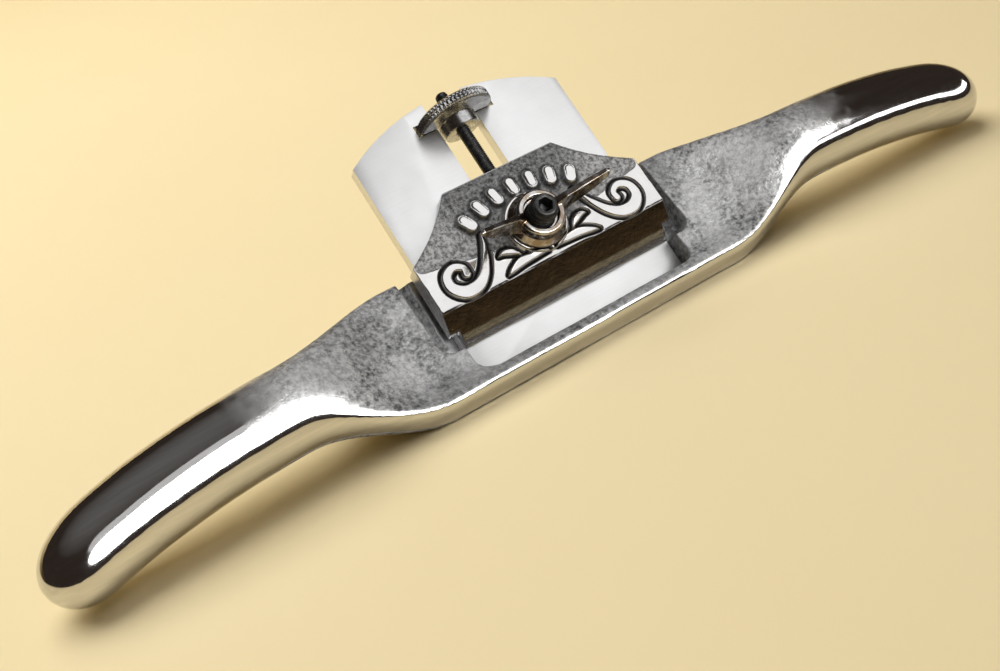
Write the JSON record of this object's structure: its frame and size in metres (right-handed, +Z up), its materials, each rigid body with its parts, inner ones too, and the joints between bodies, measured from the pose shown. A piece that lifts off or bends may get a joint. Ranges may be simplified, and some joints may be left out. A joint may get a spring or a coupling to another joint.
{
  "type": "spokeshave",
  "caption": "Metal spokeshave with gull-wing handles, sloping blade, screwed-down lever cap and a knurled nut that sets the depth of cut.",
  "frame": {"origin": "on the sole, under the middle of the blade's cutting edge", "axes": "+Z up out of the sole, +X along the handles, -Y towards the cutting side"},
  "size_m": [0.2392, 0.0539, 0.0481],
  "materials": {
    "casting": "speckled cast face on the shoulders, polished handles",
    "blade_steel": "finely ground",
    "cap_casting": "polished relief on a dark cast ground",
    "black_screw": "black oxide",
    "polished_nut": "polished",
    "knurled_steel": "knurled rim, dull faces"
  },
  "bodies": {
    "casting": {"body": "casting", "cap_stud": "black_screw", "adjuster_rod": "black_screw"},
    "iron": {"blade": "blade_steel"},
    "cap": {"lever_cap": "cap_casting"},
    "clamp_nut": {"wing_nut": "polished_nut"},
    "depth_nut": {"adjuster_nut": "knurled_steel"}
  },
  "joints": [
    {"name": "blade_slide", "type": "slide", "parent": "casting", "child": "iron", "axis": [0, 0.7071, 0.7071], "range_m": [-0.0015, 0.0015]},
    {"name": "adjuster_turn", "type": "hinge", "parent": "iron", "child": "depth_nut", "pos_m": [0, 0.04087, 0.04087], "axis": [0, 0.7071, 0.7071], "range_deg": [-1080, 1080]},
    {"name": "cap_lift", "type": "slide", "parent": "casting", "child": "cap", "axis": [0, -0.7071, 0.7071], "range_m": [0, 0.004]},
    {"name": "wing_nut_turn", "type": "hinge", "parent": "cap", "child": "clamp_nut", "pos_m": [0, 0.01223, 0.02425], "axis": [0, -0.7071, 0.7071], "range_deg": [0, 1134]}
  ],
  "couplings": [
    {"joint": "adjuster_turn", "follows": "blade_slide", "rad_per_m": 12566},
    {"joint": "wing_nut_turn", "follows": "cap_lift", "rad_per_m": 4947.4}
  ]
}
